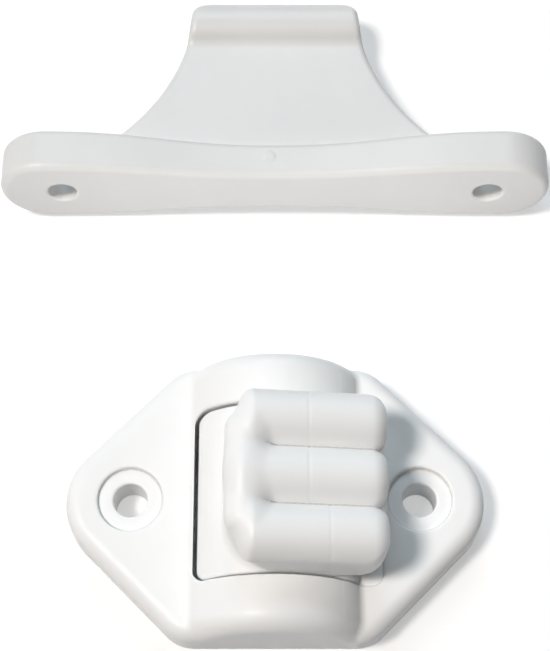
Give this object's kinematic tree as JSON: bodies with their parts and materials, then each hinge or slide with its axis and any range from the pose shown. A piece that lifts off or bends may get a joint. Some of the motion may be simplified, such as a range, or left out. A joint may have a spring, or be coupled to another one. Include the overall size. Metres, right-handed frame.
{
  "type": "door catch",
  "caption": "Two-part door catch: diamond wall base with a sprung, ridged finger lever in its barrel, and a T-shaped keeper whose beaded tongue it holds.",
  "frame": {"origin": "middle of the catch's flat back, on the wall plane", "axes": "+Z out of the wall, +Y along the lever's pivot towards the keeper, +X towards the lever's nose"},
  "size_m": [0.09, 0.1103, 0.0252],
  "materials": {
    "white_plastic": "satin injection-moulded white",
    "keeper_plastic": "satin injection-moulded off-white",
    "plate_plastic": "matt moulded off-white",
    "pin_steel": "ground",
    "spring_steel": "drawn wire",
    "screw_steel": "zinc plated"
  },
  "bodies": {
    "catch": {"catch_base": "white_plastic", "back_plate": "plate_plastic", "back_plate_screw_1": "screw_steel", "back_plate_screw_2": "screw_steel", "back_plate_screw_3": "screw_steel", "back_plate_screw_4": "screw_steel", "pivot_pin": "pin_steel", "torsion_spring": "spring_steel"},
    "lever": {"finger_lever": "white_plastic"},
    "keeper": {"keeper": "keeper_plastic"}
  },
  "joints": [
    {"name": "lever_hinge", "type": "hinge", "parent": "catch", "child": "lever", "pos_m": [0, 0, 0.0052], "axis": [0, -1, 0], "range_deg": [0, 30], "stiffness_Nm_per_rad": 0.1, "springref_deg": -34.38, "deforming": ["torsion_spring"]},
    {"name": "keeper_lift", "type": "slide", "parent": "catch", "child": "keeper", "axis": [0, 0, 1], "range_m": [0, 0.06]}
  ]
}
